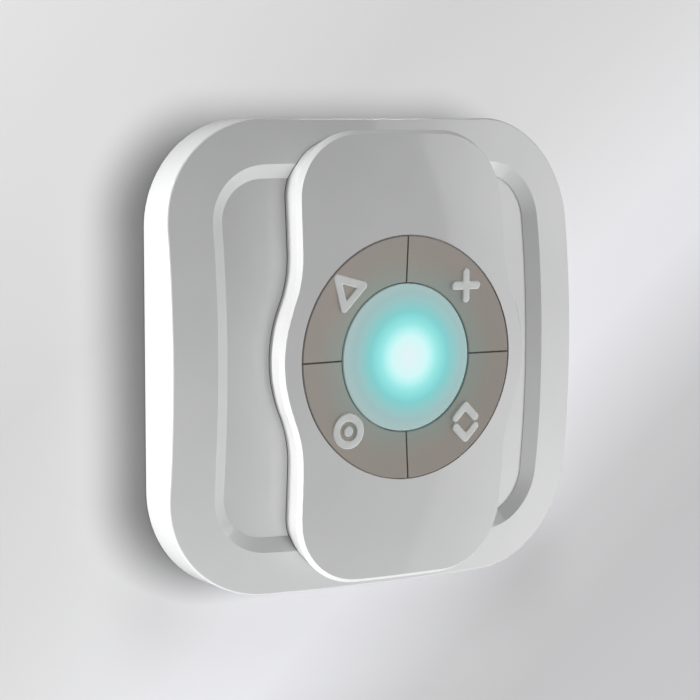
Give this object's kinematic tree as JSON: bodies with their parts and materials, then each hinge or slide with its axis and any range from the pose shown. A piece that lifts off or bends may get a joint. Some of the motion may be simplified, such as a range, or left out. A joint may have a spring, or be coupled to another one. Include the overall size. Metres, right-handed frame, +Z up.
{
  "type": "wireless remote control with wall plate",
  "caption": "Waisted handheld remote with a round pad of press buttons and a lit centre, held by magnets in a square wall plate.",
  "frame": {"origin": "centre of the wall plate's back, in the plane that lies on the wall", "axes": "+Z up the wall, -Y out of the wall towards the user, +X to the right as seen from the front"},
  "size_m": [0.08, 0.0186, 0.08],
  "materials": {
    "plate_white": "gloss",
    "keeper_steel": "zinc plated",
    "shell_white": "gloss",
    "rear_shell_white": "fine texture",
    "screw_steel": "zinc plated",
    "magnet_nickel": "nickel plated",
    "diffuser": "translucent satin",
    "reflector_white": "gloss",
    "light_source": "clear resin",
    "frame_grey": "satin",
    "switch_black": "satin",
    "board_green": "solder resist",
    "shield_steel": "tin plated",
    "chip_black": "moulded resin",
    "component_tan": "ceramic",
    "cell_steel": "bright",
    "contact_steel": "nickel plated spring",
    "cap_grey": "fine texture",
    "button_taupe": "soft satin",
    "symbol_white": "translucent satin",
    "plunger_black": "satin"
  },
  "bodies": {
    "wall_plate_body": {"wall_plate": "plate_white", "keeper_discs": "keeper_steel"},
    "remote": {"remote_front_shell": "shell_white", "remote_rear_shell": "rear_shell_white", "shell_screws": "screw_steel", "remote_magnets": "magnet_nickel", "light_diffuser": "diffuser", "reflector_cup": "reflector_white", "status_led": "light_source", "button_frame": "frame_grey", "switch_bodies": "switch_black", "circuit_board": "board_green", "radio_module": "board_green", "radio_shield": "shield_steel", "control_chip": "chip_black", "small_components": "component_tan", "coin_cell": "cell_steel", "cell_contact_negative": "contact_steel", "cell_contact_positive": "contact_steel"},
    "top_left_key": {"button_top_left": "button_taupe", "symbol_top_left": "symbol_white", "plunger_top_left": "plunger_black"},
    "top_right_key": {"button_top_right": "button_taupe", "symbol_top_right": "symbol_white", "plunger_top_right": "plunger_black"},
    "bottom_left_key": {"button_bottom_left": "button_taupe", "symbol_bottom_left": "symbol_white", "plunger_bottom_left": "plunger_black"},
    "bottom_right_key": {"button_bottom_right": "button_taupe", "symbol_bottom_right": "symbol_white", "plunger_bottom_right": "plunger_black"},
    "battery_door": {"battery_cap": "cap_grey"}
  },
  "joints": [
    {"name": "remote_lift", "type": "slide", "parent": "wall_plate_body", "child": "remote", "axis": [0, -1, 0], "range_m": [0, 0.05]},
    {"name": "top_left_press", "type": "slide", "parent": "remote", "child": "top_left_key", "axis": [0, 1, 0], "range_m": [0, 0.00035], "stiffness_N_per_m": 1000, "springref_m": -0.0006},
    {"name": "top_right_press", "type": "slide", "parent": "remote", "child": "top_right_key", "axis": [0, 1, 0], "range_m": [0, 0.00035], "stiffness_N_per_m": 1000, "springref_m": -0.0006},
    {"name": "bottom_left_press", "type": "slide", "parent": "remote", "child": "bottom_left_key", "axis": [0, 1, 0], "range_m": [0, 0.00035], "stiffness_N_per_m": 1000, "springref_m": -0.0006},
    {"name": "bottom_right_press", "type": "slide", "parent": "remote", "child": "bottom_right_key", "axis": [0, 1, 0], "range_m": [0, 0.00035], "stiffness_N_per_m": 1000, "springref_m": -0.0006},
    {"name": "battery_turn", "type": "hinge", "parent": "remote", "child": "battery_door", "pos_m": [0, -0.0085, 0], "axis": [0, 1, 0], "range_deg": [0, 45]}
  ]
}
